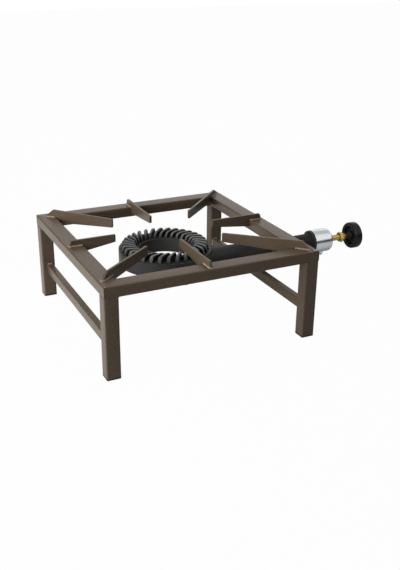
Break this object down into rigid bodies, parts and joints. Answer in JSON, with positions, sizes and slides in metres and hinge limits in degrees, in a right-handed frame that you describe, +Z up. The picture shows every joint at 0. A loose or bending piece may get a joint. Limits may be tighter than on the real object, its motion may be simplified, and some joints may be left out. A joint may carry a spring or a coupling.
{
  "type": "gas stool burner",
  "caption": "Low square tube-frame gas stove with eight flat pot fingers, a hanging ribbed ring burner and a side mixing tube with air sleeve, needle valve and round knob.",
  "frame": {"origin": "centre of the bottom of the whole object's box, on the floor; the square frame's own centre is 91.15 mm to the left of it", "axes": "+X to the right along the mixing tube towards the knob, +Y to the rear, +Z up"},
  "size_m": [0.5024, 0.32, 0.145],
  "materials": {
    "frame_paint": "brown-grey hammered stove paint, satin",
    "cap_plastic": "matt black moulded plastic",
    "black_iron": "black painted sand casting, dull satin",
    "brass": "turned brass",
    "zinc_steel": "zinc plated steel",
    "chrome": "bright chrome plate with fine round brush marks",
    "knob_plastic": "black moulded thermoset, satin",
    "packing": "white fluoropolymer"
  },
  "bodies": {
    "frame": {"front_rail": "frame_paint", "rear_rail": "frame_paint", "left_rail": "frame_paint", "right_rail": "frame_paint", "leg_front_left": "frame_paint", "leg_front_right": "frame_paint", "leg_rear_left": "frame_paint", "leg_rear_right": "frame_paint", "stretcher_left": "frame_paint", "stretcher_right": "frame_paint", "finger_front": "frame_paint", "finger_rear": "frame_paint", "finger_left": "frame_paint", "finger_right": "frame_paint", "finger_front_left": "frame_paint", "finger_front_right": "frame_paint", "finger_rear_left": "frame_paint", "finger_rear_right": "frame_paint", "front_strap": "frame_paint", "right_hanger": "frame_paint", "foot_cap_front_left": "cap_plastic", "foot_cap_front_right": "cap_plastic", "foot_cap_rear_left": "cap_plastic", "foot_cap_rear_right": "cap_plastic", "burner_ring": "black_iron", "burner_crown": "black_iron", "mixing_tube": "black_iron", "valve_body": "brass", "inlet_nipple": "brass", "injector_jet": "brass", "lock_nut": "brass", "packing_nut": "brass", "strap_bolt": "zinc_steel", "strap_nut": "zinc_steel", "packing_ring": "packing"},
    "sleeve": {"air_sleeve": "chrome"},
    "clamp_screw": {"sleeve_screw": "zinc_steel"},
    "needle": {"spindle": "brass"},
    "knob": {"knob": "knob_plastic", "knob_screw": "zinc_steel"}
  },
  "joints": [
    {"name": "air_sleeve_slide", "type": "slide", "parent": "frame", "child": "sleeve", "axis": [1, 0, 0], "range_m": [0, 0.007]},
    {"name": "clamp_screw_turn", "type": "hinge", "parent": "sleeve", "child": "clamp_screw", "pos_m": [0.18205, 0, 0.058], "axis": [0, 0, -1], "range_deg": [0, 360]},
    {"name": "needle_lift", "type": "slide", "parent": "frame", "child": "needle", "axis": [1, 0, 0], "range_m": [0, 0.0015]},
    {"name": "knob_turn", "type": "hinge", "parent": "needle", "child": "knob", "pos_m": [0.24465, 0, 0.079], "axis": [1, 0, 0], "range_deg": [0, 540]}
  ],
  "couplings": [
    {"joint": "needle_lift", "follows": "knob_turn", "m_per_rad": 0.00015915}
  ]
}
